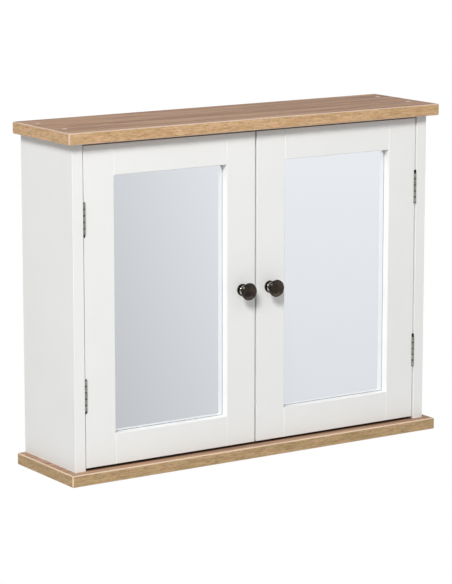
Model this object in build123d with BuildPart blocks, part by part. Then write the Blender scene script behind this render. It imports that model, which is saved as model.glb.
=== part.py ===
"""A wall cabinet for a bathroom: two mirror doors on butt hinges, hung between a wood-effect top
board and bottom board that stand proud of the white sides.

+X runs to the viewer's right, +Y from the doors to the wall, +Z up. The origin is in the middle of
the cabinet's outline, on its underside. All sizes are in millimetres.
"""
import os

from build123d import *

# Top and bottom boards
board_width = 600.0
board_depth = 150.0
board_thickness = 16.0
cabinet_height = 470.0
edging_thickness = 2.0
edging_round = 1.6

# Side panels
side_thickness = 16.0
side_inset = 12.0
side_setback = 14.0
side_outer_round = 0.6
side_inner_round = 0.5

# Doors
door_setback = 1.5
door_gap_bottom = 3.2
door_gap_top = 3.5
door_gap_middle = 3.0
door_gap_side = 1.8
stile_width = 46.0
rail_height = 42.0
lip_thickness = 11.0
rebate_width = 8.0
door_edge_round = 0.6
joint_chamfer = 0.6
tenon_length = 10.0
tenon_thickness = 5.0
tenon_shoulder = 6.0

# Mirrors and what holds them
mirror_thickness = 4.0
backing_thickness = 3.0
glass_play = 0.5
mirror_chamfer = 0.5
clip_length = 20.0
clip_width = 10.0
clip_thickness = 1.2
clip_spread = 220.0

# Butt hinges
hinge_length = 43.0
hinge_spacing = 236.0
hinge_setback = 0.55
leaf_thickness = 0.8
leaf_width = 15.0
barrel_radius = 1.7
pin_radius = 0.9
knuckle_count = 5
knuckle_gap = 0.5
barrel_relief = 0.3
door_mortise_length = 47.0
mortise_play = 0.25
hinge_screw_pitch = 15.0
hinge_screw_inset = 5.5

# Knobs
knob_reach = 21.0
knob_head_radius = 12.0
knob_head_thickness = 4.2
knob_head_round = 1.4
knob_dome = 1.6
knob_neck_radius = 4.6
knob_flange_radius = 8.3
knob_flange_thickness = 2.4
knob_edge_distance = 21.0
knob_screw_radius = 2.0
knob_screw_grip = 10.0
knob_screw_head_radius = 4.0
knob_screw_head_height = 2.4

# Small countersunk wood screws
small_screw_radius = 1.25
small_screw_head_radius = 2.0
recess_width = 0.6
recess_depth = 0.6
hinge_screw_length = 12.0
clip_screw_length = 9.0
strike_screw_length = 11.0
catch_screw_length = 30.0

# Carcass screws, their caps and the dowels
screw_end_distance = 32.0
carcass_screw_length = 50.0
carcass_screw_shank_radius = 3.5
carcass_screw_thread_radius = 3.1
carcass_screw_head_radius = 4.75
carcass_screw_head_height = 2.0
carcass_screw_socket = 4.0
cap_radius = 5.0
cap_thickness = 1.2
dowel_radius = 4.0
dowel_length = 30.0
dowel_in_face = 10.0

# Back panel and hanging rail
back_thickness = 3.0
groove_depth = 5.0
groove_play = 0.25
rail_thickness = 16.0
hanging_rail_height = 50.0
rail_dowel_spacing = 25.0
wall_screw_spacing = 400.0
wall_screw_radius = 3.0
wall_screw_access_radius = 4.5

# Shelf and its pins
shelf_thickness = 16.0
shelf_level = 228.0
shelf_side_gap = 1.5
shelf_front_gap = 6.0
shelf_back_gap = 2.0
shelf_rest_gap = 0.3
shelf_edging_thickness = 1.0
pin_hole_pitch = 32.0
pin_hole_levels = 3
shelf_pin_radius = 2.5
shelf_pin_reach = 8.0
shelf_pin_collar_radius = 3.5
shelf_pin_collar_thickness = 1.0
shelf_pin_inset = 20.0

# Magnetic catch over the meeting of the doors
catch_width = 50.0
catch_depth = 20.0
catch_height = 20.0
catch_air_gap = 0.4
magnet_rise = 7.5
magnet_offset = 13.0
magnet_width = 14.0
magnet_depth = 9.0
magnet_height = 6.0
pole_thickness = 1.5
pole_proud = 1.0
strike_width = 18.0
strike_height = 14.0
strike_thickness = 1.2

# Clearances round what is pushed, glued or screwed in
fit = 0.05
joint_play = 0.15
bottoming = 1.0

# Planes and positions that follow from the sizes
half_width = board_width / 2
door_thickness = lip_thickness + mirror_thickness + backing_thickness
knob_overreach = knob_reach - side_setback - door_setback
wall_y = (board_depth + knob_overreach) / 2
front_y = wall_y - board_depth
side_front_y = front_y + side_setback
door_face_y = side_front_y + door_setback
mirror_y = door_face_y + lip_thickness
backing_y = mirror_y + mirror_thickness
door_back_y = door_face_y + door_thickness
rail_y = wall_y - rail_thickness
back_y = rail_y - back_thickness
floor_z = board_thickness
ceiling_z = cabinet_height - board_thickness
side_outer_x = half_width - side_inset
side_inner_x = side_outer_x - side_thickness
side_middle_x = (side_outer_x + side_inner_x) / 2
hinge_x = side_inner_x - barrel_radius
hinge_y = side_front_y + hinge_setback
frame_leaf_face_x = side_inner_x - leaf_thickness
door_leaf_back_x = hinge_x - barrel_radius
door_leaf_face_x = door_leaf_back_x + leaf_thickness
door_outer_x = side_inner_x - door_gap_side
door_inner_x = door_gap_middle / 2
door_bottom = floor_z + door_gap_bottom
door_top = ceiling_z - door_gap_top
door_middle_z = (door_bottom + door_top) / 2
door_middle_x = (door_outer_x + door_inner_x) / 2
opening_left = door_inner_x + stile_width
opening_right = door_outer_x - stile_width
opening_bottom = door_bottom + rail_height
opening_top = door_top - rail_height
knob_x = door_inner_x + knob_edge_distance
knob_z = door_middle_z
carcass_screw_ys = (side_front_y + screw_end_distance, wall_y - screw_end_distance)
side_middle_y = (side_front_y + wall_y) / 2
shelf_front_y = door_back_y + shelf_front_gap
shelf_back_y = back_y - shelf_back_gap
shelf_pin_ys = (shelf_front_y + shelf_pin_inset, shelf_back_y - shelf_pin_inset)
shelf_pin_z = shelf_level - shelf_rest_gap - shelf_pin_radius
catch_front_y = door_back_y + strike_thickness + catch_air_gap + pole_proud
catch_bottom = ceiling_z - catch_height
catch_screw_y = catch_front_y + (magnet_depth + catch_depth) / 2
magnet_z = catch_bottom + magnet_rise
hinge_screw_y = hinge_y + leaf_width - hinge_screw_inset
hinge_levels = {
    "lower": door_middle_z - hinge_spacing / 2,
    "upper": door_middle_z + hinge_spacing / 2,
}
# The two doors are one part, used the other way up on the other side, so each hinge sits at the
# upper end of its mortise on the left door and at the lower end on the right door.
hinge_slip = (door_mortise_length - hinge_length) / 2 - mortise_play
slips = {"left": hinge_slip, "right": -hinge_slip}

os.makedirs("parts", exist_ok=True)


def write(part, name):
    """Label a finished piece and write it to its own file."""
    part.label = name
    export_step(part, f"parts/{name}.step")


def write_handed(part, side, name):
    """Write a piece drawn for the right-hand side, mirrored where it belongs on the left."""
    if side == "right":
        write(part, name)
        return
    with BuildPart() as mirrored:
        mirror(part, about=Plane.YZ)
    write(mirrored.part, name)


def block(x0, x1, y0, y1, z0, z1, mode=Mode.ADD):
    """A box between two corners, in the part being built."""
    with Locations(((x0 + x1) / 2, (y0 + y1) / 2, (z0 + z1) / 2)):
        Box(abs(x1 - x0), abs(y1 - y0), abs(z1 - z0), mode=mode)


def rod(start, direction, radius, length, mode=Mode.ADD):
    """A cylinder from its start, in the part being built."""
    with Locations(Plane(origin=start, z_dir=direction)):
        Cylinder(radius, length, align=(Align.CENTER, Align.CENTER, Align.MIN), mode=mode)


def drill(start, direction, radius, depth):
    """A round hole from its mouth, in the part being built."""
    rod(start, direction, radius, depth, mode=Mode.SUBTRACT)


def small_screw(mouth, direction, length):
    """A countersunk wood screw with a crossed head, flush with the face it is driven into."""
    head = small_screw_head_radius - fit
    shank = small_screw_radius
    from_start = (Align.CENTER, Align.CENTER, Align.MIN)
    head_plane = Plane(origin=mouth, z_dir=direction)
    with Locations(head_plane):
        Cone(head, shank, head - shank, align=from_start)
        Cylinder(shank, length - shank, align=from_start)
        Box(1.2 * head, recess_width, 2 * recess_depth, mode=Mode.SUBTRACT)
        Box(recess_width, 1.2 * head, 2 * recess_depth, mode=Mode.SUBTRACT)
    with Locations(head_plane.offset(length - shank)):
        Cone(shank, shank / 4, shank, align=from_start)


def small_screw_pilot(mouth, direction, length):
    """The hole a small screw turns into, from the face that its head is flush with."""
    drill(mouth, direction, small_screw_radius + fit, length + bottoming)


# Boards: veneered chipboard, edged on the front and both ends
def carcass_board(outer_z, inner_z):
    """The top or bottom board, from its outer face to the face towards the doors."""
    outward = 1 if outer_z > inner_z else -1
    with BuildPart() as board:
        block(
            -half_width + edging_thickness,
            half_width - edging_thickness,
            front_y + edging_thickness,
            wall_y,
            outer_z,
            inner_z,
        )
        for side in (-1, 1):
            for y in carcass_screw_ys:
                with Locations(Plane(origin=(side * side_middle_x, y, outer_z), z_dir=(0, 0, outward))):
                    CounterBoreHole(
                        carcass_screw_shank_radius + fit,
                        cap_radius + fit,
                        cap_thickness + carcass_screw_head_height,
                        depth=board_thickness,
                    )
            drill(
                (side * side_middle_x, side_middle_y, inner_z),
                (0, 0, outward),
                dowel_radius + fit,
                dowel_in_face + bottoming,
            )
        block(
            -side_inner_x - groove_depth,
            side_inner_x + groove_depth,
            back_y - groove_play,
            rail_y,
            inner_z,
            inner_z + outward * groove_depth,
            mode=Mode.SUBTRACT,
        )
        if inner_z == ceiling_z:
            for side in (-1, 1):
                small_screw_pilot(
                    (side * magnet_offset, catch_screw_y, ceiling_z),
                    (0, 0, 1),
                    catch_screw_length - catch_height,
                )
    return board.part


def front_edging(outer_z, inner_z):
    """The strip along a board's front edge, rounded everywhere but where it is glued on."""
    with BuildPart() as strip:
        block(-half_width, half_width, front_y, front_y + edging_thickness, outer_z, inner_z)
        fillet(strip.edges() - strip.faces().sort_by(Axis.Y)[-1].edges(), edging_round)
    return strip.part


def end_edgings(outer_z, inner_z):
    """The strips on a board's two ends, their long outer edges rounded."""
    with BuildPart() as strips:
        for side in (-1, 1):
            block(
                side * (half_width - edging_thickness),
                side * half_width,
                front_y + edging_thickness,
                wall_y,
                outer_z,
                inner_z,
            )
        fillet(strips.faces().sort_by(Axis.X)[0].edges().filter_by(Axis.Y), edging_round)
        fillet(strips.faces().sort_by(Axis.X)[-1].edges().filter_by(Axis.Y), edging_round)
    return strips.part


for board_name, outer_z, inner_z in (("top", cabinet_height, ceiling_z), ("bottom", 0.0, floor_z)):
    write(carcass_board(outer_z, inner_z), f"{board_name}_board")
    write(front_edging(outer_z, inner_z), f"{board_name}_board_front_edging")
    write(end_edgings(outer_z, inner_z), f"{board_name}_board_end_edgings")


# Side panels: white, relieved for the hinge knuckles, grooved for the back, drilled for the shelf pins
def side_panel(slip):
    with BuildPart() as panel:
        block(side_inner_x, side_outer_x, side_front_y, wall_y, floor_z, ceiling_z)
        front_edges = panel.edges().filter_by(Axis.Z).group_by(Axis.Y)[0].sort_by(Axis.X)
        fillet(front_edges[-1], side_outer_round)
        fillet(panel.edges().filter_by(Axis.Z).group_by(Axis.Y)[0].sort_by(Axis.X)[0], side_inner_round)
        block(
            side_inner_x,
            side_inner_x + groove_depth,
            back_y - groove_play,
            rail_y,
            floor_z,
            ceiling_z,
            mode=Mode.SUBTRACT,
        )
        for end_z, inward in ((floor_z, 1), (ceiling_z, -1)):
            for y in carcass_screw_ys:
                drill(
                    (side_middle_x, y, end_z),
                    (0, 0, inward),
                    carcass_screw_thread_radius + fit,
                    cap_thickness + carcass_screw_length - board_thickness + bottoming,
                )
            drill(
                (side_middle_x, side_middle_y, end_z),
                (0, 0, inward),
                dowel_radius + fit,
                dowel_length - dowel_in_face + bottoming,
            )
        for z in hinge_levels.values():
            hinge_z = z + slip
            half_relief = hinge_length / 2 + mortise_play
            drill(
                (hinge_x, hinge_y, hinge_z - half_relief),
                (0, 0, 1),
                barrel_radius + barrel_relief,
                2 * half_relief,
            )
            for step in (-1, 0, 1):
                small_screw_pilot(
                    (frame_leaf_face_x, hinge_screw_y, hinge_z + step * hinge_screw_pitch),
                    (1, 0, 0),
                    hinge_screw_length,
                )
        for y in shelf_pin_ys:
            for level in range(pin_hole_levels):
                z = shelf_pin_z + (level - (pin_hole_levels - 1) / 2) * pin_hole_pitch
                drill((side_inner_x, y, z), (1, 0, 0), shelf_pin_radius + fit, shelf_pin_reach + bottoming)
        for step in (-0.5, 0.5):
            z = ceiling_z - hanging_rail_height / 2 + step * rail_dowel_spacing
            drill(
                (side_inner_x, wall_y - rail_thickness / 2, z),
                (1, 0, 0),
                dowel_radius + fit,
                dowel_in_face + bottoming,
            )
    return panel.part


for side, slip in slips.items():
    write_handed(side_panel(slip), side, f"{side}_side_panel")

# Back panel: thin board in the grooves all round, holed where the wall screws are reached
with BuildPart() as back_panel:
    block(
        -side_inner_x - groove_depth + groove_play,
        side_inner_x + groove_depth - groove_play,
        back_y,
        rail_y,
        floor_z - groove_depth + groove_play,
        ceiling_z + groove_depth - groove_play,
    )
    for side in (-0.5, 0.5):
        drill(
            (side * wall_screw_spacing, back_y, ceiling_z - hanging_rail_height / 2),
            (0, 1, 0),
            wall_screw_access_radius,
            back_thickness,
        )
write(back_panel.part, "back_panel")

# Hanging rail: a batten behind the back panel, dowelled between the sides, that carries the weight
with BuildPart() as hanging_rail:
    block(
        -side_inner_x,
        side_inner_x,
        rail_y,
        wall_y,
        ceiling_z - hanging_rail_height,
        ceiling_z,
    )
    for side in (-0.5, 0.5):
        drill(
            (side * wall_screw_spacing, rail_y, ceiling_z - hanging_rail_height / 2),
            (0, 1, 0),
            wall_screw_radius,
            rail_thickness,
        )
    for side in (-1, 1):
        for step in (-0.5, 0.5):
            z = ceiling_z - hanging_rail_height / 2 + step * rail_dowel_spacing
            drill(
                (side * side_inner_x, wall_y - rail_thickness / 2, z),
                (-side, 0, 0),
                dowel_radius + fit,
                dowel_length - dowel_in_face + bottoming,
            )
write(hanging_rail.part, "hanging_rail")

# Dowels: one in each joint between a side and a board, two in each end of the hanging rail
with BuildPart() as dowels:
    for side in (-1, 1):
        rod((side * side_middle_x, side_middle_y, floor_z - dowel_in_face), (0, 0, 1), dowel_radius, dowel_length)
        rod((side * side_middle_x, side_middle_y, ceiling_z + dowel_in_face), (0, 0, -1), dowel_radius, dowel_length)
        for step in (-0.5, 0.5):
            z = ceiling_z - hanging_rail_height / 2 + step * rail_dowel_spacing
            rod(
                (side * (side_inner_x + dowel_in_face), wall_y - rail_thickness / 2, z),
                (-side, 0, 0),
                dowel_radius,
                dowel_length,
            )
    chamfer(dowels.edges().filter_by(GeomType.CIRCLE), dowel_radius / 8)
write(dowels.part, "dowels")

# Carcass screws: one-piece connectors driven through the boards into the ends of the sides
with BuildPart() as carcass_screws:
    for outer_z, inward in ((cabinet_height, -1), (0.0, 1)):
        for side in (-1, 1):
            for y in carcass_screw_ys:
                head_plane = Plane(
                    origin=(side * side_middle_x, y, outer_z + inward * cap_thickness),
                    z_dir=(0, 0, inward),
                )
                shank_length = board_thickness - cap_thickness
                from_start = (Align.CENTER, Align.CENTER, Align.MIN)
                tip_length = carcass_screw_thread_radius
                with Locations(head_plane):
                    Cylinder(carcass_screw_head_radius, carcass_screw_head_height, align=from_start)
                    Cylinder(carcass_screw_shank_radius, shank_length, align=from_start)
                    Cylinder(
                        carcass_screw_thread_radius,
                        carcass_screw_length - tip_length,
                        align=from_start,
                    )
                with Locations(head_plane.offset(carcass_screw_length - tip_length)):
                    Cone(carcass_screw_thread_radius, 0.8, tip_length, align=from_start)
                with BuildSketch(head_plane):
                    RegularPolygon(carcass_screw_socket / 2, 6, major_radius=False)
                extrude(amount=carcass_screw_head_height, mode=Mode.SUBTRACT)
write(carcass_screws.part, "carcass_screws")

# Screw caps: plastic discs with a peg, flush with the boards' outer faces
with BuildPart() as screw_caps:
    for outer_z, inward in ((cabinet_height, -1), (0.0, 1)):
        for side in (-1, 1):
            for y in carcass_screw_ys:
                mouth = (side * side_middle_x, y, outer_z)
                rod(mouth, (0, 0, inward), cap_radius, cap_thickness)
                rod(mouth, (0, 0, inward), carcass_screw_socket / 2 - joint_play, cap_thickness + bottoming)
write(screw_caps.part, "screw_caps")

# Shelf pins: steel pins with a collar against the side, two on each side
with BuildPart() as shelf_pins:
    for side in (-1, 1):
        for y in shelf_pin_ys:
            rod(
                (side * (side_inner_x + shelf_pin_reach), y, shelf_pin_z),
                (-side, 0, 0),
                shelf_pin_radius,
                2 * shelf_pin_reach,
            )
            rod(
                (side * side_inner_x, y, shelf_pin_z),
                (-side, 0, 0),
                shelf_pin_collar_radius,
                shelf_pin_collar_thickness,
            )
    rims = shelf_pins.edges().filter_by(GeomType.CIRCLE).group_by(lambda rim: abs(rim.center().X))
    chamfer(rims[0] + rims[-1], shelf_pin_radius / 6)
write(shelf_pins.part, "shelf_pins")

# Shelf: loose on its pins, edged along the front
shelf_end_x = side_inner_x - shelf_side_gap
with BuildPart() as shelf:
    block(
        -shelf_end_x,
        shelf_end_x,
        shelf_front_y + shelf_edging_thickness,
        shelf_back_y,
        shelf_level,
        shelf_level + shelf_thickness,
    )
write(shelf.part, "shelf")

with BuildPart() as shelf_front_edging:
    block(
        -shelf_end_x,
        shelf_end_x,
        shelf_front_y,
        shelf_front_y + shelf_edging_thickness,
        shelf_level,
        shelf_level + shelf_thickness,
    )
    fillet(
        shelf_front_edging.faces().sort_by(Axis.Y)[0].edges().filter_by(Axis.X),
        shelf_edging_thickness * 0.7,
    )
write(shelf_front_edging.part, "shelf_front_edging")

# Magnetic catch: a plastic housing under the top board with a magnet and two steel poles for each door
pocket_depth = magnet_depth + joint_play
with BuildPart() as catch_housing:
    block(
        -catch_width / 2,
        catch_width / 2,
        catch_front_y,
        catch_front_y + catch_depth,
        catch_bottom,
        ceiling_z,
    )
    fillet(catch_housing.edges().filter_by(Axis.Z), 2)
    fillet(catch_housing.faces().sort_by(Axis.Z)[0].edges(), 1)
    for side in (-1, 1):
        block(
            side * magnet_offset - magnet_width / 2 - fit,
            side * magnet_offset + magnet_width / 2 + fit,
            catch_front_y,
            catch_front_y + pocket_depth,
            magnet_z - magnet_height / 2 - pole_thickness - fit,
            magnet_z + magnet_height / 2 + pole_thickness + fit,
            mode=Mode.SUBTRACT,
        )
        with Locations(Plane(origin=(side * magnet_offset, catch_screw_y, catch_bottom), z_dir=(0, 0, -1))):
            CounterSinkHole(small_screw_radius + fit, small_screw_head_radius, counter_sink_angle=90)
write(catch_housing.part, "catch_housing")

with BuildPart() as catch_magnets:
    for side in (-1, 1):
        block(
            side * magnet_offset - magnet_width / 2,
            side * magnet_offset + magnet_width / 2,
            catch_front_y,
            catch_front_y + magnet_depth,
            magnet_z - magnet_height / 2,
            magnet_z + magnet_height / 2,
        )
write(catch_magnets.part, "catch_magnets")

with BuildPart() as catch_poles:
    for side in (-1, 1):
        for level in (-1, 1):
            block(
                side * magnet_offset - magnet_width / 2,
                side * magnet_offset + magnet_width / 2,
                catch_front_y - pole_proud,
                catch_front_y + magnet_depth,
                magnet_z + level * magnet_height / 2,
                magnet_z + level * (magnet_height / 2 + pole_thickness),
            )
write(catch_poles.part, "catch_poles")

with BuildPart() as catch_screws:
    for side in (-1, 1):
        small_screw((side * magnet_offset, catch_screw_y, catch_bottom), (0, 0, 1), catch_screw_length)
write(catch_screws.part, "catch_screws")


# Butt hinges: two pressed leaves whose knuckles take turns round a pin. One leaf lies on the inside
# of the side panel, the other in a mortise cut into the door's edge.
def knuckles(hinge_z, first):
    """The low end of every second knuckle, and the length of one."""
    length = (hinge_length - (knuckle_count - 1) * knuckle_gap) / knuckle_count
    bottom = hinge_z - hinge_length / 2
    return [bottom + i * (length + knuckle_gap) for i in range(first, knuckle_count, 2)], length


def hinge_leaf(hinge_z, outward, own, other):
    """One leaf: outward is +1 for the leaf on the side panel and -1 for the leaf on the door."""
    near_x = hinge_x + outward * (barrel_radius - leaf_thickness)
    far_x = hinge_x + outward * barrel_radius
    own_knuckles, length = knuckles(hinge_z, own)
    other_knuckles, length = knuckles(hinge_z, other)
    with BuildPart() as leaf:
        block(
            near_x,
            far_x,
            hinge_y,
            hinge_y + leaf_width,
            hinge_z - hinge_length / 2,
            hinge_z + hinge_length / 2,
        )
        for z in other_knuckles:
            block(
                near_x,
                far_x,
                hinge_y,
                hinge_y + barrel_radius + barrel_relief,
                z - knuckle_gap,
                z + length + knuckle_gap,
                mode=Mode.SUBTRACT,
            )
        for z in own_knuckles:
            rod((hinge_x, hinge_y, z), (0, 0, 1), barrel_radius, length)
        drill((hinge_x, hinge_y, hinge_z - hinge_length / 2), (0, 0, 1), pin_radius + fit, hinge_length)
        for step in (-1, 0, 1):
            mouth = (near_x, hinge_screw_y, hinge_z + step * hinge_screw_pitch)
            with Locations(Plane(origin=mouth, z_dir=(-outward, 0, 0))):
                CounterSinkHole(
                    small_screw_radius + fit,
                    small_screw_head_radius,
                    depth=leaf_thickness,
                    counter_sink_angle=90,
                )
    return leaf.part


for side, slip in slips.items():
    for level, z in hinge_levels.items():
        hinge_z = z + slip
        write_handed(hinge_leaf(hinge_z, 1, 0, 1), side, f"{side}_{level}_hinge_frame_leaf")
        write_handed(hinge_leaf(hinge_z, -1, 1, 0), side, f"{side}_{level}_hinge_door_leaf")
        with BuildPart() as pin:
            rod((hinge_x, hinge_y, hinge_z - hinge_length / 2), (0, 0, 1), pin_radius, hinge_length)
            chamfer(pin.edges().filter_by(GeomType.CIRCLE), pin_radius / 4)
        write_handed(pin.part, side, f"{side}_{level}_hinge_pin")

# Hinge screws in the side panels, and those in each door
with BuildPart() as frame_leaf_screws:
    for hand, side in ((-1, "left"), (1, "right")):
        for z in hinge_levels.values():
            for step in (-1, 0, 1):
                mouth_z = z + slips[side] + step * hinge_screw_pitch
                small_screw((hand * frame_leaf_face_x, hinge_screw_y, mouth_z), (hand, 0, 0), hinge_screw_length)
write(frame_leaf_screws.part, "frame_leaf_screws")

for side, slip in slips.items():
    with BuildPart() as door_leaf_screws:
        for z in hinge_levels.values():
            for step in (-1, 0, 1):
                mouth_z = z + slip + step * hinge_screw_pitch
                small_screw((door_leaf_face_x, hinge_screw_y, mouth_z), (-1, 0, 0), hinge_screw_length)
    write_handed(door_leaf_screws.part, side, f"{side}_door_leaf_screws")

# Doors: two stiles and two rails, stub-tenoned, rebated behind for the mirror and its backing
clip_y = door_back_y
clip_places = [
    (opening_left - rebate_width, door_middle_z - clip_spread / 2, -1, 0),
    (opening_left - rebate_width, door_middle_z + clip_spread / 2, -1, 0),
    (opening_right + rebate_width, door_middle_z - clip_spread / 2, 1, 0),
    (opening_right + rebate_width, door_middle_z + clip_spread / 2, 1, 0),
    (door_middle_x, opening_bottom - rebate_width, 0, -1),
    (door_middle_x, opening_top + rebate_width, 0, 1),
]


def clip_screw_mouths():
    """Where the clips are screwed down: a quarter of their length outside the rebate."""
    quarter = clip_length / 4
    return [(x + quarter * dx, clip_y + clip_thickness, z + quarter * dz) for x, z, dx, dz in clip_places]


def clip_pilots():
    """The holes in the door's back for the clips' screws, in whichever frame member is there."""
    for mouth in clip_screw_mouths():
        small_screw_pilot(mouth, (0, -1, 0), clip_screw_length)


def mirror_rebate():
    """The step routed behind the opening, all round the mirror."""
    block(
        opening_left - rebate_width,
        opening_right + rebate_width,
        mirror_y,
        door_back_y,
        opening_bottom - rebate_width,
        opening_top + rebate_width,
        mode=Mode.SUBTRACT,
    )


def tenon(shoulder_x, outward, z_low, z_high, play, mode):
    """The tongue on the end of a rail, or with play round it the mortise for it."""
    tongue_y = door_face_y + (lip_thickness - tenon_thickness) / 2
    block(
        shoulder_x,
        shoulder_x + outward * (tenon_length + 2 * play),
        tongue_y - play,
        tongue_y + tenon_thickness + play,
        z_low + tenon_shoulder - play,
        z_high - tenon_shoulder + play,
        mode=mode,
    )


def stile(outer_x, inner_x):
    """An upright of the door frame, from its edge outside the door to its edge at the opening."""
    inward = 1 if inner_x > outer_x else -1
    with BuildPart() as upright:
        block(outer_x, inner_x, door_face_y, door_back_y, door_bottom, door_top)
        front = upright.faces().sort_by(Axis.Y)[0]
        long_edges = front.edges().filter_by(Axis.Z).sort_by(Axis.X)
        inner_edge = long_edges[-1] if inward > 0 else long_edges[0]
        chamfer(inner_edge, joint_chamfer)
        front = upright.faces().sort_by(Axis.Y)[0]
        long_edges = front.edges().filter_by(Axis.Z).sort_by(Axis.X)
        outer_edge = long_edges[0] if inward > 0 else long_edges[-1]
        fillet([outer_edge] + front.edges().filter_by(Axis.X), door_edge_round)
        mirror_rebate()
        for z_low, z_high in ((door_bottom, opening_bottom), (opening_top, door_top)):
            tenon(inner_x, -inward, z_low, z_high, joint_play, Mode.SUBTRACT)
        clip_pilots()
    return upright.part


def hinge_stile(slip):
    """The upright at the side of the cabinet, mortised for both hinges."""
    with BuildPart() as upright:
        add(stile(door_outer_x, opening_right))
        for z in hinge_levels.values():
            mortise_bottom = z - door_mortise_length / 2
            block(
                door_leaf_back_x,
                door_outer_x,
                hinge_y - barrel_radius,
                hinge_y + leaf_width + mortise_play,
                mortise_bottom,
                mortise_bottom + door_mortise_length,
                mode=Mode.SUBTRACT,
            )
            drill(
                (hinge_x, hinge_y, mortise_bottom),
                (0, 0, 1),
                barrel_radius + barrel_relief,
                door_mortise_length,
            )
            for step in (-1, 0, 1):
                small_screw_pilot(
                    (door_leaf_face_x, hinge_screw_y, z + slip + step * hinge_screw_pitch),
                    (-1, 0, 0),
                    hinge_screw_length,
                )
    return upright.part


strike_x = magnet_offset
strike_z = magnet_z


def knob_stile():
    """The upright where the doors meet, drilled for the knob and the strike plate."""
    with BuildPart() as upright:
        add(stile(door_inner_x, opening_left))
        drill((knob_x, door_face_y, knob_z), (0, 1, 0), knob_screw_radius + joint_play, door_thickness)
        small_screw_pilot((strike_x, door_back_y + strike_thickness, strike_z), (0, -1, 0), strike_screw_length)
    return upright.part


def rail(outer_z, inner_z):
    """A cross member of the door frame, from its edge outside the door to its edge at the opening."""
    low, high = sorted((outer_z, inner_z))
    with BuildPart() as member:
        block(opening_left, opening_right, door_face_y, door_back_y, low, high)
        front = member.faces().sort_by(Axis.Y)[0]
        inner_edge = front.edges().filter_by(Axis.X).sort_by(Axis.Z)[0 if inner_z < outer_z else -1]
        chamfer(front.edges().filter_by(Axis.Z) + [inner_edge], joint_chamfer)
        front = member.faces().sort_by(Axis.Y)[0]
        outer_edge = front.edges().filter_by(Axis.X).sort_by(Axis.Z)[-1 if inner_z < outer_z else 0]
        fillet(outer_edge, door_edge_round)
        mirror_rebate()
        tenon(opening_left, -1, low, high, 0, Mode.ADD)
        tenon(opening_right, 1, low, high, 0, Mode.ADD)
        clip_pilots()
    return member.part


# Mirror and backing: loose in the rebate by the same play all round
def rebate_panel(y0, y1, edge_chamfer):
    with BuildPart() as panel:
        block(
            opening_left - rebate_width + glass_play,
            opening_right + rebate_width - glass_play,
            y0,
            y1,
            opening_bottom - rebate_width + glass_play,
            opening_top + rebate_width - glass_play,
        )
        if edge_chamfer:
            chamfer(panel.faces().sort_by(Axis.Y)[0].edges(), edge_chamfer)
    return panel.part


# Backing clips: flat tabs screwed to the frame, half over the backing
with BuildPart() as backing_clips:
    for x, z, dx, dz in clip_places:
        across_x = (clip_length if dx else clip_width) / 2
        across_z = (clip_length if dz else clip_width) / 2
        block(x - across_x, x + across_x, clip_y, clip_y + clip_thickness, z - across_z, z + across_z)
    fillet(backing_clips.edges().filter_by(Axis.Y), clip_width / 5)
    for mouth in clip_screw_mouths():
        with Locations(Plane(origin=mouth, z_dir=(0, 1, 0))):
            CounterSinkHole(
                small_screw_radius + fit,
                small_screw_head_radius,
                depth=clip_thickness,
                counter_sink_angle=90,
            )

with BuildPart() as clip_screws:
    for mouth in clip_screw_mouths():
        small_screw(mouth, (0, -1, 0), clip_screw_length)

# Strike plate: a steel plate behind the top corner of the door, drawn to the magnet
with BuildPart() as strike_plate:
    block(
        strike_x - strike_width / 2,
        strike_x + strike_width / 2,
        door_back_y,
        door_back_y + strike_thickness,
        strike_z - strike_height / 2,
        strike_z + strike_height / 2,
    )
    fillet(strike_plate.edges().filter_by(Axis.Y), 2)
    with Locations(Plane(origin=(strike_x, door_back_y + strike_thickness, strike_z), z_dir=(0, 1, 0))):
        CounterSinkHole(
            small_screw_radius + fit,
            small_screw_head_radius,
            depth=strike_thickness,
            counter_sink_angle=90,
        )

with BuildPart() as strike_screw:
    small_screw((strike_x, door_back_y + strike_thickness, strike_z), (0, -1, 0), strike_screw_length)

# Knob: turned with a foot flange, a waist and a shallow domed head, and screwed on from behind
knob_plane = Plane(origin=(knob_x, door_face_y, knob_z), x_dir=(1, 0, 0), z_dir=(0, 0, -1))
thread_radius = knob_screw_radius + fit
thread_depth = knob_screw_grip + bottoming
flange_round = knob_flange_thickness / 2
foot_radius = knob_flange_radius - flange_round
face_radius = knob_head_radius - knob_head_round
rim_front = knob_reach - knob_dome
rim_back = rim_front - knob_head_thickness
cove = foot_radius - knob_neck_radius
flare = face_radius - knob_neck_radius
neck_low = (knob_neck_radius, knob_flange_thickness + cove)
neck_high = (knob_neck_radius, rim_back - flare)
with BuildPart() as knob:
    with BuildSketch(knob_plane):
        with BuildLine():
            Polyline(
                (0, knob_reach),
                (0, thread_depth),
                (thread_radius, thread_depth),
                (thread_radius, 0),
                (knob_flange_radius, 0),
                (knob_flange_radius, knob_flange_thickness - flange_round),
            )
            TangentArc(
                (knob_flange_radius, knob_flange_thickness - flange_round),
                (foot_radius, knob_flange_thickness),
                tangent=(0, 1),
            )
            TangentArc((foot_radius, knob_flange_thickness), neck_low, tangent=(-1, 0))
            Line(neck_low, neck_high)
            TangentArc(neck_high, (face_radius, rim_back), tangent=(0, 1))
            ThreePointArc(
                (face_radius, rim_back),
                (knob_head_radius, (rim_back + rim_front) / 2),
                (face_radius, rim_front),
            )
            TangentArc((0, knob_reach), (face_radius, rim_front), tangent=(1, 0))
        make_face()
    revolve(axis=Axis(knob_plane.origin, (0, 1, 0)))

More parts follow.
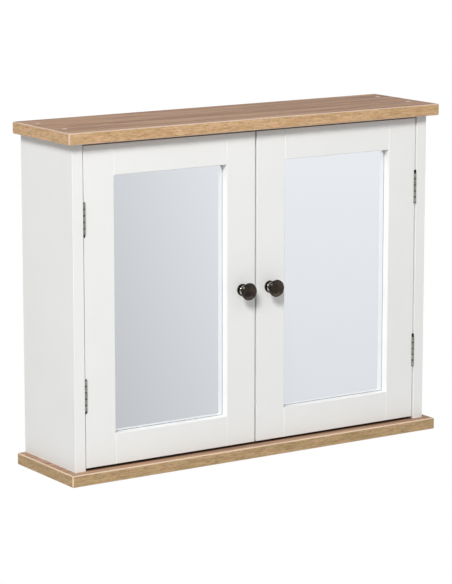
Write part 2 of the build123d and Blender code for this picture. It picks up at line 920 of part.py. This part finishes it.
with BuildPart() as knob_screw:
    rod((knob_x, door_back_y, knob_z), (0, 1, 0), knob_screw_head_radius, knob_screw_head_height)
    fillet(knob_screw.faces().sort_by(Axis.Y)[-1].edges(), knob_screw_head_height / 3)
    rod((knob_x, door_back_y, knob_z), (0, -1, 0), knob_screw_radius, door_thickness + knob_screw_grip)
    with Locations((knob_x, door_back_y + knob_screw_head_height, knob_z)):
        Box(knob_screw_head_radius, 2 * recess_depth, 2 * recess_width, mode=Mode.SUBTRACT)
        Box(2 * recess_width, 2 * recess_depth, knob_screw_head_radius, mode=Mode.SUBTRACT)

for side, slip in slips.items():
    write_handed(hinge_stile(slip), side, f"{side}_door_hinge_stile")
    write_handed(knob_stile(), side, f"{side}_door_knob_stile")
    write_handed(rail(door_top, opening_top), side, f"{side}_door_top_rail")
    write_handed(rail(door_bottom, opening_bottom), side, f"{side}_door_bottom_rail")
    write_handed(rebate_panel(mirror_y, backing_y, mirror_chamfer), side, f"{side}_mirror")
    write_handed(rebate_panel(backing_y, door_back_y, 0), side, f"{side}_mirror_backing")
    write_handed(backing_clips.part, side, f"{side}_backing_clips")
    write_handed(clip_screws.part, side, f"{side}_backing_clip_screws")
    write_handed(strike_plate.part, side, f"{side}_strike_plate")
    write_handed(strike_screw.part, side, f"{side}_strike_plate_screw")
    write_handed(knob.part, side, f"{side}_knob")
    write_handed(knob_screw.part, side, f"{side}_knob_screw")
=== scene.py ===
import math

import bpy
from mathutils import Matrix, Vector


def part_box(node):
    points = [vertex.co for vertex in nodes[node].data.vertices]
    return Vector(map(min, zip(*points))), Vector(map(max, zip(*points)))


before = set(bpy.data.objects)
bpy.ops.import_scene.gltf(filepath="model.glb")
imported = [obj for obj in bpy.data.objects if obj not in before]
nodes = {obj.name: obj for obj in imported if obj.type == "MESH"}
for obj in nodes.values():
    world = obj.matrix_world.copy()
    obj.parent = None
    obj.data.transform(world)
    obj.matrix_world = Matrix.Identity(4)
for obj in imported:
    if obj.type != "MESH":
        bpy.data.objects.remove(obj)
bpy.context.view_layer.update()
bpy.ops.object.select_all(action="DESELECT")


# Top and bottom board: 16 mm chipboard faced with a wood-effect foil whose grain runs along the
# cabinet. They stand proud of the sides in front and at both ends, and are screwed onto them. A
# dark line painted on the bottom board under the doors is painted shade for the gap there.
def new_finish(name, colour, roughness, metallic=0.0):
    """A finish whose plain values are set on its shader, ready for nodes to be added."""
    finish = bpy.data.materials.new(name)
    finish.use_nodes = True
    shader = finish.node_tree.nodes["Principled BSDF"]
    shader.inputs["Base Color"].default_value = (*colour, 1)
    shader.inputs["Roughness"].default_value = roughness
    shader.inputs["Metallic"].default_value = metallic
    return finish


def shader_of(finish):
    return finish.node_tree.nodes["Principled BSDF"]


def put(finish, kind, settings, inputs):
    """Adds a node. Each input takes a value, or another node's output."""
    node = finish.node_tree.nodes.new("ShaderNode" + kind)
    for key, value in settings.items():
        setattr(node, key, value)
    for key, value in inputs.items():
        if isinstance(value, bpy.types.NodeSocket):
            finish.node_tree.links.new(value, node.inputs[key])
        else:
            node.inputs[key].default_value = value
    return node


def fibres(finish, length, width, axis, detail=3.0, distortion=0.0, shift=0.0):
    """Noise drawn out along one axis of the piece, like fibres of that length and width."""
    place = put(finish, "TexCoord", {}, {}).outputs["Object"]
    scale = [1 / width] * 3
    scale[axis] = 1 / length
    drawn_out = put(finish, "Mapping", {}, {"Vector": place, "Scale": scale, "Location": (shift, 0, 0)})
    noise = put(
        finish,
        "TexNoise",
        {},
        {"Vector": drawn_out.outputs[0], "Scale": 1.0, "Detail": detail, "Distortion": distortion},
    )
    return noise.outputs["Fac"]


def blend(finish, factor, low, high, from_0=0.0, from_1=1.0):
    """Runs from one colour to another as the factor goes from from_0 to from_1."""
    spread = put(finish, "MapRange", {}, {"Value": factor, "From Min": from_0, "From Max": from_1})
    mix = put(finish, "Mix", {"data_type": "RGBA"}, {"Factor": spread.outputs[0]})
    for socket, colour in ((mix.inputs[6], low), (mix.inputs[7], high)):
        if isinstance(colour, bpy.types.NodeSocket):
            finish.node_tree.links.new(colour, socket)
        else:
            socket.default_value = (*colour, 1)
    return mix.outputs[2]


def scaled(finish, value, low, high, from_0=0.0, from_1=1.0):
    """A number between two limits as value goes from from_0 to from_1."""
    inputs = {"Value": value, "From Min": from_0, "From Max": from_1, "To Min": low, "To Max": high}
    return put(finish, "MapRange", {}, inputs).outputs[0]


def place_in(finish):
    """The three Object coordinates of a point on the piece."""
    place = put(finish, "TexCoord", {}, {}).outputs["Object"]
    return put(finish, "SeparateXYZ", {}, {"Vector": place}).outputs


def reckon(finish, operation, *values):
    """One step of arithmetic on numbers or outputs."""
    return put(finish, "Math", {"operation": operation}, dict(enumerate(values))).outputs[0]


def connect(finish, output, name):
    finish.node_tree.links.new(output, shader_of(finish).inputs[name])


def relief(finish, height, distance, strength=1.0):
    """Raises the surface by up to distance, in metres, where height is 1."""
    bump = put(finish, "Bump", {}, {"Height": height, "Distance": distance, "Strength": strength})
    connect(finish, bump.outputs[0], "Normal")


def wear(finish, *names):
    """Gives a finish to CAD nodes."""
    for name in names:
        nodes[name].data.materials[0] = finish


board_foil = new_finish("board_foil", (0.4, 0.28, 0.2), 0.6)
shader_of(board_foil).inputs["Specular IOR Level"].default_value = 0.18
streaks = fibres(board_foil, 0.4, 0.014, 0, detail=4, distortion=0.7)
figure = blend(board_foil, streaks, (0.31, 0.175, 0.112), (0.55, 0.35, 0.232), 0.36, 0.64)
warm_streaks = fibres(board_foil, 0.16, 0.007, 0, detail=3, distortion=0.5, shift=11)
figure = blend(board_foil, warm_streaks, figure, (0.55, 0.31, 0.17), 0.52, 0.72)
lines = fibres(board_foil, 0.10, 0.0016, 0, detail=4)
lined = blend(board_foil, lines, (0.25, 0.15, 0.1), figure, 0.3, 0.52)
pores = fibres(board_foil, 0.022, 0.0009, 0, detail=2, shift=3)
foil_colour = blend(board_foil, pores, lined, (0.62, 0.47, 0.35), 0.62, 0.72)
x, y, z = place_in(board_foil)
door_low, door_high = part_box("left_door_bottom_rail")
door_middle_y = (door_low[1] + door_high[1]) / 2
door_half_thickness = (door_high[1] - door_low[1]) / 2
side_inner_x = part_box("right_side_panel")[0][0]
bottom_board_top = 0.016
# Painted shade: the bottom board's top face under the doors is drawn near black for the gap's shadow.
under_doors = reckon(board_foil, "COMPARE", y, door_middle_y, door_half_thickness)
between_sides = reckon(board_foil, "LESS_THAN", reckon(board_foil, "ABSOLUTE", x), side_inner_x)
near_doors = reckon(board_foil, "COMPARE", z, bottom_board_top, 0.001)
below_doors = reckon(board_foil, "MULTIPLY", under_doors, between_sides)
painted_gap_shade = reckon(board_foil, "MULTIPLY", below_doors, near_doors)
gap_shade_colour = blend(board_foil, streaks, (0.06, 0.03, 0.012), (0.13, 0.075, 0.04), 0.36, 0.64)
connect(board_foil, blend(board_foil, painted_gap_shade, foil_colour, gap_shade_colour), "Base Color")
connect(board_foil, scaled(board_foil, lines, 0.5, 0.68), "Roughness")
relief(board_foil, lines, 0.00006, 0.6)
wear(board_foil, "top_board", "bottom_board")


# Edging: wood-effect strip, 2 mm thick, glued on the front and both ends and rounded over. It is
# drawn paler along the rounded arrises and down the corners.
def edging_finish(name, along, middle_z, dark, light, fleck, warm_tone, pale, arris_tone):
    finish = new_finish(name, light, 0.5)
    shader_of(finish).inputs["Specular IOR Level"].default_value = 0.35
    flow = fibres(finish, 0.07, 0.005, along, detail=3, distortion=0.8)
    ground = blend(finish, flow, dark, light, 0.3, 0.68)
    warm = fibres(finish, 0.022, 0.003, along, detail=2, distortion=0.8, shift=7)
    warmed = blend(finish, warm, ground, warm_tone, 0.5, 0.72)
    flecks = fibres(finish, 0.009, 0.0014, along, detail=3, distortion=1.2)
    flecked = blend(finish, flecks, fleck, warmed, 0.32, 0.52)
    glints = fibres(finish, 0.009, 0.0015, along, detail=2, distortion=0.8, shift=3)
    body = blend(finish, glints, flecked, pale, 0.6, 0.85)
    x, y, z = place_in(finish)
    from_middle = reckon(finish, "ABSOLUTE", reckon(finish, "SUBTRACT", z, middle_z))
    arris = scaled(finish, from_middle, 0, 1, 0.0066, 0.0074)
    corner = scaled(finish, reckon(finish, "ABSOLUTE", x), 0, 1, 0.2984, 0.2992)
    ahead = scaled(finish, y, 1, 0, -0.0712, -0.0704)
    rounded = reckon(finish, "MAXIMUM", arris, reckon(finish, "MULTIPLY", corner, ahead))
    # Paler along the rounded arrises and down the corners, in an uneven band.
    paler_arris = reckon(finish, "MULTIPLY", rounded, scaled(finish, flow, 0.55, 1.0))
    connect(finish, blend(finish, paler_arris, body, arris_tone), "Base Color")
    connect(finish, scaled(finish, flecks, 0.38, 0.55), "Roughness")
    relief(finish, flecks, 0.00005, 0.6)
    return finish


for board, middle_z, tones in (
    (
        "top",
        0.462,
        (
            (0.49, 0.305, 0.14),
            (0.66, 0.45, 0.25),
            (0.37, 0.21, 0.10),
            (0.73, 0.42, 0.255),
            (0.80, 0.58, 0.37),
            (0.68, 0.54, 0.45),
        ),
    ),
    (
        "bottom",
        0.008,
        (
            (0.36, 0.25, 0.11),
            (0.53, 0.37, 0.2),
            (0.29, 0.18, 0.085),
            (0.58, 0.345, 0.195),
            (0.66, 0.48, 0.29),
            (0.85, 0.66, 0.5),
        ),
    ),
):
    for edge, along in (("front_edging", 0), ("end_edgings", 1)):
        finish = edging_finish(f"{board}_{edge}", along, middle_z, *tones)
        wear(finish, f"{board}_board_{edge}")

# Side panels and door frames: sanded fibreboard sprayed with satin white lacquer, which keeps a
# faint orange peel. Near-black patches on the door edges and side panels beside each hinge are
# painted shade for the hinge mortises.
lacquer = new_finish("white_lacquer", (0.86, 0.86, 0.845), 0.4)
cloud = fibres(lacquer, 0.09, 0.09, 2, detail=3)
sprayed = blend(lacquer, cloud, (0.845, 0.845, 0.83), (0.865, 0.866, 0.852), 0.3, 0.7)
x, y, z = place_in(lacquer)
knob_low, knob_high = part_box("left_knob")
knob_z = (knob_low[2] + knob_high[2]) / 2
hinge_from_knob = 0.118
mortise_half_length = 0.0237
door_edge_x = 0.2691
door_edge_reach = 0.0009
relief_x = 0.2722
relief_middle_y = -0.0497
relief_half_depth = 0.008
# Painted shade: door edges and side panels beside each hinge are drawn near black.
from_knob = reckon(lacquer, "ABSOLUTE", reckon(lacquer, "SUBTRACT", z, knob_z))
beside_hinge = reckon(lacquer, "COMPARE", from_knob, hinge_from_knob, mortise_half_length)
from_centre = reckon(lacquer, "ABSOLUTE", x)
in_edge = reckon(lacquer, "COMPARE", from_centre, door_edge_x, door_edge_reach)
in_door = reckon(lacquer, "MULTIPLY", in_edge, reckon(lacquer, "GREATER_THAN", y, -0.0562))
on_side = reckon(lacquer, "COMPARE", from_centre, relief_x, 0.0004)
beside_door = reckon(lacquer, "COMPARE", y, relief_middle_y, relief_half_depth)
in_side = reckon(lacquer, "MULTIPLY", on_side, beside_door)
painted_mortise_shade = reckon(lacquer, "MULTIPLY", beside_hinge, reckon(lacquer, "MAXIMUM", in_door, in_side))
connect(lacquer, blend(lacquer, painted_mortise_shade, sprayed, (0.035, 0.022, 0.013)), "Base Color")
connect(lacquer, scaled(lacquer, cloud, 0.34, 0.44, 0.3, 0.7), "Roughness")
peel = fibres(lacquer, 0.0022, 0.0016, 2, detail=2)
relief(lacquer, peel, 0.00001, 0.5)
wear(lacquer, "left_side_panel", "right_side_panel")
for side in ("left", "right"):
    for member in ("hinge_stile", "knob_stile", "top_rail", "bottom_rail"):
        wear(lacquer, f"{side}_door_{member}")

# Back panel and mirror backings: thin hardboard, white foil on the face that shows when the doors
# are open and bare brown fibre on the other.
hardboard = new_finish("hardboard", (0.42, 0.28, 0.17), 0.75)
felted = fibres(hardboard, 0.004, 0.0012, 0, detail=5, distortion=1.5)
fibre_colour = blend(hardboard, felted, (0.33, 0.205, 0.115), (0.52, 0.36, 0.225), 0.3, 0.7)
y = place_in(hardboard)[1]
foil_middle_y = 0.01
foil_reach = 0.0491
faced = reckon(hardboard, "COMPARE", y, foil_middle_y, foil_reach)
connect(hardboard, blend(hardboard, faced, fibre_colour, (0.83, 0.83, 0.81)), "Base Color")
connect(hardboard, scaled(hardboard, felted, 0.65, 0.85), "Roughness")
relief(hardboard, felted, 0.0001, 0.8)
wear(hardboard, "back_panel", "left_mirror_backing", "right_mirror_backing")

# Hanging rail and dowels: planed softwood and fluted beech, left bare because they don't show. The
# rail lies behind the back panel, and the dowels are glued into the boards and sides.
bare_wood = new_finish("bare_wood", (0.66, 0.48, 0.29), 0.6)
rings = fibres(bare_wood, 0.35, 0.007, 0, detail=4, distortion=0.4)
ring_colour = blend(bare_wood, rings, (0.52, 0.345, 0.18), (0.74, 0.57, 0.37), 0.35, 0.62)
connect(bare_wood, ring_colour, "Base Color")
hairs = fibres(bare_wood, 0.03, 0.0007, 0, detail=3)
connect(bare_wood, scaled(bare_wood, hairs, 0.5, 0.7), "Roughness")
relief(bare_wood, hairs, 0.00008, 0.7)
wear(bare_wood, "hanging_rail", "dowels")

# Steel fasteners and plates: stamped or rolled steel, zinc plated, with the mottled sheen that
# plating in a barrel leaves.
zinc = new_finish("zinc_plating", (0.62, 0.62, 0.63), 0.32, 1.0)
spangle = fibres(zinc, 0.0025, 0.0025, 2, detail=4)
connect(zinc, blend(zinc, spangle, (0.5, 0.505, 0.53), (0.72, 0.72, 0.7), 0.3, 0.7), "Base Color")
connect(zinc, scaled(zinc, spangle, 0.24, 0.42, 0.3, 0.7), "Roughness")
relief(zinc, spangle, 0.00003, 0.4)
wear(zinc, "carcass_screws", "shelf_pins", "catch_poles", "catch_screws", "frame_leaf_screws")
for side in ("left", "right"):
    for fitting in (
        "door_leaf_screws",
        "backing_clips",
        "backing_clip_screws",
        "strike_plate",
        "strike_plate_screw",
        "knob_screw",
    ):
        wear(zinc, f"{side}_{fitting}")


# Screw caps: plastic discs pressed into the screw heads, flush with the boards, brown at the rim
# and pale beige in the middle.
def distance(finish, across, along):
    """How far a point is from a centre, from its two distances."""
    squares = reckon(finish, "ADD", reckon(finish, "POWER", across, 2), reckon(finish, "POWER", along, 2))
    return reckon(finish, "SQRT", squares)


cap_plastic = new_finish("cap_plastic", (0.66, 0.53, 0.42), 0.4)
speckle = fibres(cap_plastic, 0.0012, 0.0012, 2, detail=2)
pale = blend(cap_plastic, speckle, (0.74, 0.56, 0.44), (0.84, 0.67, 0.55), 0.3, 0.7)
cap_x = 0.28
cap_middle_y = 0.00975
cap_half_spacing = 0.036
x, y, z = place_in(cap_plastic)
off_x = reckon(cap_plastic, "SUBTRACT", reckon(cap_plastic, "ABSOLUTE", x), cap_x)
off_middle = reckon(cap_plastic, "ABSOLUTE", reckon(cap_plastic, "SUBTRACT", y, cap_middle_y))
off_y = reckon(cap_plastic, "SUBTRACT", off_middle, cap_half_spacing)
rim = scaled(cap_plastic, distance(cap_plastic, off_x, off_y), 0, 1, 0.0028, 0.0036)
connect(cap_plastic, blend(cap_plastic, rim, pale, (0.41, 0.25, 0.165)), "Base Color")
relief(cap_plastic, speckle, 0.00002, 0.5)
wear(cap_plastic, "screw_caps")

# Shelf and its front edging: chipboard faced in white melamine with a fine pearl texture. The shelf
# lies loose on its pins.
melamine = new_finish("white_melamine", (0.84, 0.84, 0.82), 0.45)
pearl = fibres(melamine, 0.0012, 0.0012, 2, detail=3)
connect(melamine, blend(melamine, pearl, (0.82, 0.82, 0.80), (0.86, 0.86, 0.84), 0.3, 0.7), "Base Color")
connect(melamine, scaled(melamine, pearl, 0.38, 0.52), "Roughness")
relief(melamine, pearl, 0.00004, 0.5)
wear(melamine, "shelf", "shelf_front_edging")

# Magnetic catch: a moulded white housing with two dull black ferrite magnets, gripped between
# steel poles that the strike plates on the doors are drawn to.
moulding = new_finish("white_moulding", (0.82, 0.82, 0.8), 0.35)
spark = fibres(moulding, 0.0006, 0.0006, 2, detail=2)
connect(moulding, scaled(moulding, spark, 0.3, 0.45), "Roughness")
relief(moulding, spark, 0.00003, 0.5)
wear(moulding, "catch_housing")
ferrite = new_finish("ferrite", (0.06, 0.06, 0.062), 0.6)
grit = fibres(ferrite, 0.0005, 0.0005, 2, detail=4)
connect(ferrite, blend(ferrite, grit, (0.04, 0.04, 0.042), (0.09, 0.09, 0.09), 0.3, 0.7), "Base Color")
relief(ferrite, grit, 0.00004, 0.6)
wear(ferrite, "catch_magnets")

# Hinges: leaves pressed from sheet and rolled round a pin, five knuckles each, satin nickel plated.
# The joints between the knuckles are drawn dark.
knuckle_count = 5
for side in ("left", "right"):
    for level in ("upper", "lower"):
        hinge = f"{side}_{level}_hinge"
        pin_low, pin_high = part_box(f"{hinge}_pin")
        knuckle = (pin_high[2] - pin_low[2]) / knuckle_count
        nickel = new_finish(f"{hinge}_nickel", (0.3, 0.29, 0.26), 0.38, 1.0)
        brushing = fibres(nickel, 0.012, 0.00025, 0, detail=3)
        tarnish = fibres(nickel, 0.004, 0.004, 2, detail=3, shift=5)
        plated = blend(nickel, tarnish, (0.27, 0.26, 0.225), (0.42, 0.405, 0.36), 0.3, 0.7)
        above_first = reckon(nickel, "SUBTRACT", place_in(nickel)[2], pin_low[2] + knuckle / 2)
        in_knuckle = reckon(nickel, "FRACT", reckon(nickel, "DIVIDE", above_first, knuckle))
        from_middle = reckon(nickel, "ABSOLUTE", reckon(nickel, "SUBTRACT", in_knuckle, 0.5))
        dark_knuckle_joints = scaled(nickel, from_middle, 1, 0, 0.05, 0.13)
        connect(nickel, blend(nickel, dark_knuckle_joints, plated, (0.055, 0.05, 0.04)), "Base Color")
        connect(nickel, scaled(nickel, brushing, 0.28, 0.46), "Roughness")
        relief(nickel, brushing, 0.00003, 0.5)
        wear(nickel, f"{hinge}_frame_leaf", f"{hinge}_door_leaf", f"{hinge}_pin")

# Mirrors: float glass, silvered behind and ground all round, held in the rebates of the doors. A
# fine dark line just inside the edges of the opening is painted shade for the lip seen in the glass.
glass_tone = (0.885, 0.91, 0.95)
silvered_glass = new_finish("silvered_glass", glass_tone, 0.01, 1.0)
wipes = fibres(silvered_glass, 0.05, 0.05, 2, detail=3, distortion=0.6)
connect(silvered_glass, scaled(silvered_glass, wipes, 0.004, 0.03, 0.45, 0.75), "Roughness")
stile_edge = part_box("right_door_knob_stile")[1][0]
hinge_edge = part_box("right_door_hinge_stile")[0][0]
rail_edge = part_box("right_door_bottom_rail")[1][2]
top_rail_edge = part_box("right_door_top_rail")[0][2]
x, y, z = place_in(silvered_glass)
opening_x = (stile_edge + hinge_edge) / 2
opening_z = (rail_edge + top_rail_edge) / 2
from_centre = reckon(silvered_glass, "SUBTRACT", reckon(silvered_glass, "ABSOLUTE", x), opening_x)
from_middle = reckon(silvered_glass, "SUBTRACT", z, opening_z)
half_width = (hinge_edge - stile_edge) / 2
half_height = (top_rail_edge - rail_edge) / 2
edge_x = reckon(silvered_glass, "ABSOLUTE", from_centre)
edge_z = reckon(silvered_glass, "ABSOLUTE", from_middle)
# Painted shade: a fine dark line just inside the edges of the opening.
line_x = scaled(silvered_glass, edge_x, 0, 1, half_width - 0.0009, half_width - 0.0003)
line_z = scaled(silvered_glass, edge_z, 0, 1, half_height - 0.0009, half_height - 0.0003)
painted_lip_shade = reckon(silvered_glass, "MAXIMUM", line_x, line_z)
connect(silvered_glass, blend(silvered_glass, painted_lip_shade, glass_tone, (0.16, 0.17, 0.17)), "Base Color")
wear(silvered_glass, "left_mirror", "right_mirror")

# Knobs: turned brass, chemically darkened to a brown black and polished. The neck and the foot
# are a brighter tone than the face. A bright ring on the cove is a painted highlight, and both
# rims are drawn darker as painted dark reflection.
dark_bronze = new_finish("dark_bronze", (0.035, 0.029, 0.025), 0.18, 1.0)
patina = fibres(dark_bronze, 0.006, 0.006, 2, detail=4, distortion=0.5)
face_tone = blend(dark_bronze, patina, (0.042, 0.034, 0.028), (0.075, 0.058, 0.045), 0.3, 0.7)
x, y, z = place_in(dark_bronze)
knob_x = -(knob_low[0] + knob_high[0]) / 2
off_x = reckon(dark_bronze, "SUBTRACT", reckon(dark_bronze, "ABSOLUTE", x), knob_x)
off_z = reckon(dark_bronze, "SUBTRACT", z, knob_z)
radius = distance(dark_bronze, off_x, off_z)
head_thickness = 0.0062
head_back = knob_low[1] + head_thickness
head_rim = scaled(dark_bronze, radius, 0, 1, 0.0104, 0.0112)
on_neck = scaled(dark_bronze, y, 0, 1, head_back, head_back + 0.0005)
neck_tone_and_highlight = blend(dark_bronze, patina, (0.07, 0.065, 0.055), (0.11, 0.102, 0.088), 0.3, 0.7)
# Painted highlight: a bright ring on the cove between the neck and the foot.
in_cove = reckon(dark_bronze, "COMPARE", radius, 0.0057, 0.0008)
painted_cove_highlight = reckon(dark_bronze, "MULTIPLY", in_cove, scaled(dark_bronze, y, 0, 1, -0.0632, -0.0622))
neck_tone_and_highlight = blend(dark_bronze, painted_cove_highlight, neck_tone_and_highlight, (0.25, 0.235, 0.21))
toned = blend(dark_bronze, on_neck, face_tone, neck_tone_and_highlight)
# Painted dark reflection: the head's rim is drawn darker than its face.
toned = blend(dark_bronze, head_rim, toned, (0.034, 0.03, 0.026))
# Painted dark reflection: the foot's rim is drawn near black.
below_head = reckon(dark_bronze, "SUBTRACT", on_neck, head_rim)
foot_rim = reckon(dark_bronze, "MULTIPLY", below_head, scaled(dark_bronze, radius, 0, 1, 0.0068, 0.0074))
connect(dark_bronze, blend(dark_bronze, foot_rim, toned, (0.014, 0.012, 0.010)), "Base Color")
connect(dark_bronze, scaled(dark_bronze, patina, 0.12, 0.17), "Roughness")
relief(dark_bronze, patina, 0.00003, 0.3)
wear(dark_bronze, "left_knob", "right_knob")

# Floor: plain, pale and matt, as far below the cabinet as such a cabinet hangs above it. It keeps
# the shadow, and shows as white to the camera and in glass.
floor_z = -1.25
bpy.ops.mesh.primitive_plane_add(size=5, location=(0, 0, floor_z))
floor = bpy.context.object
floor.name = "floor"
bpy.ops.object.transform_apply(location=True, rotation=True, scale=True)
floor_paint = new_finish("floor_paint", (0.86, 0.86, 0.86), 0.9)
trodden = fibres(floor_paint, 0.5, 0.5, 2, detail=3)
connect(floor_paint, scaled(floor_paint, trodden, 0.85, 0.95), "Roughness")
seen = put(floor_paint, "LightPath", {}, {})
by_glass = reckon(floor_paint, "MAXIMUM", seen.outputs["Is Glossy Ray"], seen.outputs["Is Transmission Ray"])
shown = reckon(floor_paint, "MAXIMUM", seen.outputs["Is Camera Ray"], by_glass)
connect(floor_paint, scaled(floor_paint, shown, 0, 0.85), "Emission Strength")
shader_of(floor_paint).inputs["Emission Color"].default_value = (1, 1, 1, 1)
floor.data.materials.append(floor_paint)

# Surroundings: even white walls, which light the cabinet softly and are what its glass shows. They
# are a little greyer to the left and below.
room = bpy.data.worlds.new("white_room")
bpy.context.scene.world = room
room.use_nodes = True
background = room.node_tree.nodes["Background"]
background.inputs["Color"].default_value = (1, 1, 1, 1)
room_path = put(room, "LightPath", {}, {}).outputs
room_glass = reckon(room, "MAXIMUM", room_path["Is Glossy Ray"], room_path["Is Transmission Ray"])
way = put(room, "SeparateXYZ", {}, {"Vector": put(room, "TexCoord", {}, {}).outputs["Generated"]}).outputs
fill_level = 0.372
walls = scaled(room, way[0], 0.66, 0.92, 0.49, 0.56)
depth = scaled(room, way[2], 0.84, 1.0, -0.27, -0.13)
mirrored = reckon(room, "MULTIPLY", walls, depth)
unscattered = reckon(room, "LESS_THAN", room_path["Diffuse Depth"], 0.5)
by_glass = reckon(room, "MULTIPLY", room_glass, unscattered)
soft_light = put(room, "Mix", {}, {0: by_glass, 2: fill_level, 3: mirrored}).outputs[0]
room_strength = put(room, "Mix", {}, {0: room_path["Is Camera Ray"], 2: soft_light, 3: 1.0}).outputs[0]
room.node_tree.links.new(room_strength, background.inputs["Strength"])


# Lamps: a softbox up on the left that throws the boards' and knobs' soft shadows, and a smaller,
# weak one in front that lightens them.
def softbox(name, place, size, power):
    """A round lamp turned to the middle of the cabinet."""
    bpy.ops.object.light_add(type="AREA", location=place)
    lamp = bpy.context.object
    lamp.name = name
    lamp.data.shape = "DISK"
    lamp.data.size = size
    lamp.data.energy = power
    towards = [a - p for a, p in zip((0, 0, 0.235), place)]
    pitch = math.atan2(towards[2], math.hypot(towards[0], towards[1]))
    lamp.rotation_euler = (math.pi / 2 + pitch, 0, math.atan2(-towards[0], towards[1]))


softbox("key_softbox", (-2.64, -2.64, 2.74), 1.2, 163)
softbox("top_softbox", (0.2, -0.8, 1.2), 0.6, 1.0)

# Camera: a long lens from the left, a little above the cabinet and 3.6 m away, with the lens held
# straight (no shift), so that the other views stay centred.
bpy.ops.object.camera_add(location=(-1.9497, -2.9496, 0.8961))
camera = bpy.context.object
looking_down = math.radians(10.82)
turned = math.radians(-33.308)
camera.rotation_euler = (math.pi / 2 - looking_down, 0, turned)
camera.data.lens = 160.17
camera.data.sensor_width = 36
bpy.context.scene.camera = camera
bpy.context.scene.view_settings.view_transform = "Standard"
